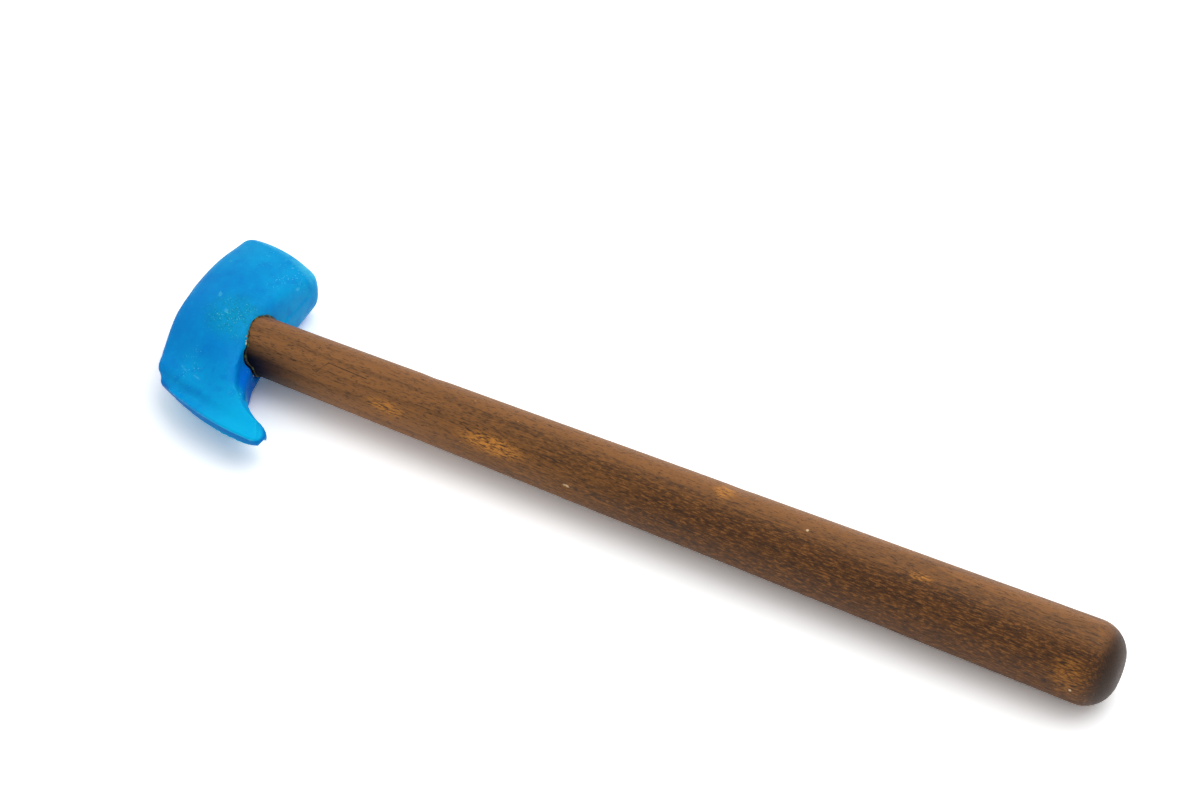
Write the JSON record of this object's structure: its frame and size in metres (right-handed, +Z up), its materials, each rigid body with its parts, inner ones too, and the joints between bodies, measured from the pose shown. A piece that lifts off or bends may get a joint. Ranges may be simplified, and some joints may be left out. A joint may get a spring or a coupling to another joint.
{
  "type": "hatchet-pattern hammer",
  "caption": "Hammer with a cast resin head, a flat striking face opposite a curved hatchet blade, wedged and bonded onto a turned wooden handle that swells towards the butt.",
  "frame": {"origin": "on the flat lower cheek of the head, under the axis of the handle, 16 mm in from the mouth of the eye", "axes": "+X along the handle from the head to the butt, +Y from the blade to the striking face, +Z up out of the bench that the hammer lies on"},
  "size_m": [0.3569, 0.0842, 0.028],
  "materials": {
    "cast_resin": "semi-gloss cast resin, slightly translucent, with small bubbles",
    "stained_wood": "walnut stain under a thin worn satin varnish",
    "wedge_wood": "bare hardwood, sanded flush",
    "cured_adhesive": "dark cured adhesive"
  },
  "bodies": {
    "root": {"head": "cast_resin", "handle": "stained_wood", "eye_wedge": "wedge_wood", "adhesive": "cured_adhesive"}
  },
  "joints": []
}
